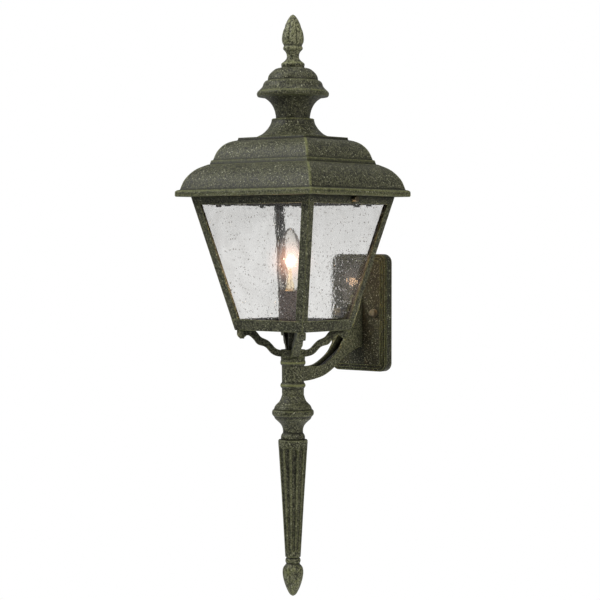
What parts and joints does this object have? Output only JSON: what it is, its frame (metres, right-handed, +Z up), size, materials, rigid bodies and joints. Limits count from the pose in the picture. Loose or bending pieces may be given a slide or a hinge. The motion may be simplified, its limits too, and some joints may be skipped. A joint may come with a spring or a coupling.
{
  "type": "outdoor wall lantern",
  "caption": "Tapered four-sided outdoor wall lantern with seeded glass, two-tier roof and bud finials, on a curved arm and fluted tail from a wall plate.",
  "frame": {"origin": "centre of the wall plate's back plane, where the lantern meets the wall", "axes": "+Y into the wall, +Z up, lantern on the -Y side"},
  "size_m": [0.2734, 0.3024, 0.901],
  "materials": {
    "cast_body": "cast aluminium, speckled dark verdigris powder coat",
    "gasket": "closed-cell foam",
    "zinc": "zinc plated",
    "ground_green": "green ground screw",
    "bronze": "dull antique bronze",
    "dark_screw": "blackened",
    "glass": "clear seeded glass",
    "lamp_glass": "clear lamp glass",
    "phenolic": "phenolic",
    "brass": "brass",
    "wire_steel": "nickel wire",
    "filament": "tungsten, lit",
    "pvc_black": "PVC",
    "pvc_white": "PVC",
    "nut_orange": "moulded wire connector"
  },
  "bodies": {
    "root": {"arm_screws": "zinc", "back_plate": "cast_body", "bottom_frame": "cast_body", "bottom_pan": "cast_body", "bracket_arm": "cast_body", "center_contact": "brass", "center_tube": "cast_body", "fluted_shaft": "cast_body", "glass_clips": "zinc", "ground_screw": "ground_green", "lead_black": "pvc_black", "lead_white": "pvc_white", "mounting_bar": "zinc", "mounting_studs": "zinc", "pane_front": "glass", "pane_left": "glass", "pane_rear": "glass", "pane_right": "glass", "pipe_lock_nuts": "zinc", "pivot_rivet": "zinc", "post_front_left": "cast_body", "post_front_right": "cast_body", "post_rear_left": "cast_body", "post_rear_right": "cast_body", "screw_shell": "brass", "socket_body": "phenolic", "socket_cover": "cast_body", "spider_screws": "dark_screw", "stem_vase": "cast_body", "strut_spider": "cast_body", "stud_bar": "zinc", "stud_lock_nuts": "zinc", "tail_finial": "cast_body", "threaded_pipe": "zinc", "tie_rod": "zinc", "tie_rod_nut": "zinc", "top_frame": "cast_body", "wall_gasket": "gasket", "wire_nuts": "nut_orange", "wire_sleeve": "pvc_black"},
    "roof": {"roof_casting": "cast_body", "roof_collar": "cast_body", "chimney_neck": "cast_body", "chimney_cap": "cast_body", "roof_rod": "zinc", "roof_rod_nut": "zinc", "roof_tabs": "zinc", "tab_rivets": "zinc"},
    "top_finial": {"top_finial": "cast_body"},
    "bulb": {"bulb_base": "brass", "bulb_glass": "lamp_glass", "bulb_stem": "lamp_glass", "bulb_support_wires": "wire_steel", "bulb_filament": "filament"},
    "thumbscrew_left": {"thumbscrew_left": "bronze"},
    "thumbscrew_right": {"thumbscrew_right": "bronze"},
    "cap_nut_left": {"cap_nut_left": "bronze"},
    "cap_nut_right": {"cap_nut_right": "bronze"}
  },
  "joints": [
    {"name": "roof_lift", "type": "slide", "parent": "root", "child": "roof", "axis": [0, 0, 1], "range_m": [0, 0.12]},
    {"name": "finial_turn", "type": "hinge", "parent": "roof", "child": "top_finial", "pos_m": [0, -0.1805, 0.39], "axis": [0, 0, 1], "continuous": true},
    {"name": "bulb_unscrew", "type": "slide", "parent": "root", "child": "bulb", "axis": [0, 0, 1], "range_m": [0, 0.026]},
    {"name": "thumbscrew_left_slide", "type": "slide", "parent": "root", "child": "thumbscrew_left", "axis": [-1, 0, 0], "range_m": [0, 0.014]},
    {"name": "thumbscrew_right_slide", "type": "slide", "parent": "root", "child": "thumbscrew_right", "axis": [1, 0, 0], "range_m": [0, 0.014]},
    {"name": "cap_nut_left_turn", "type": "hinge", "parent": "root", "child": "cap_nut_left", "pos_m": [-0.036, -0.025, 0], "axis": [0, 1, 0], "continuous": true},
    {"name": "cap_nut_right_turn", "type": "hinge", "parent": "root", "child": "cap_nut_right", "pos_m": [0.036, -0.025, 0], "axis": [0, 1, 0], "continuous": true}
  ]
}
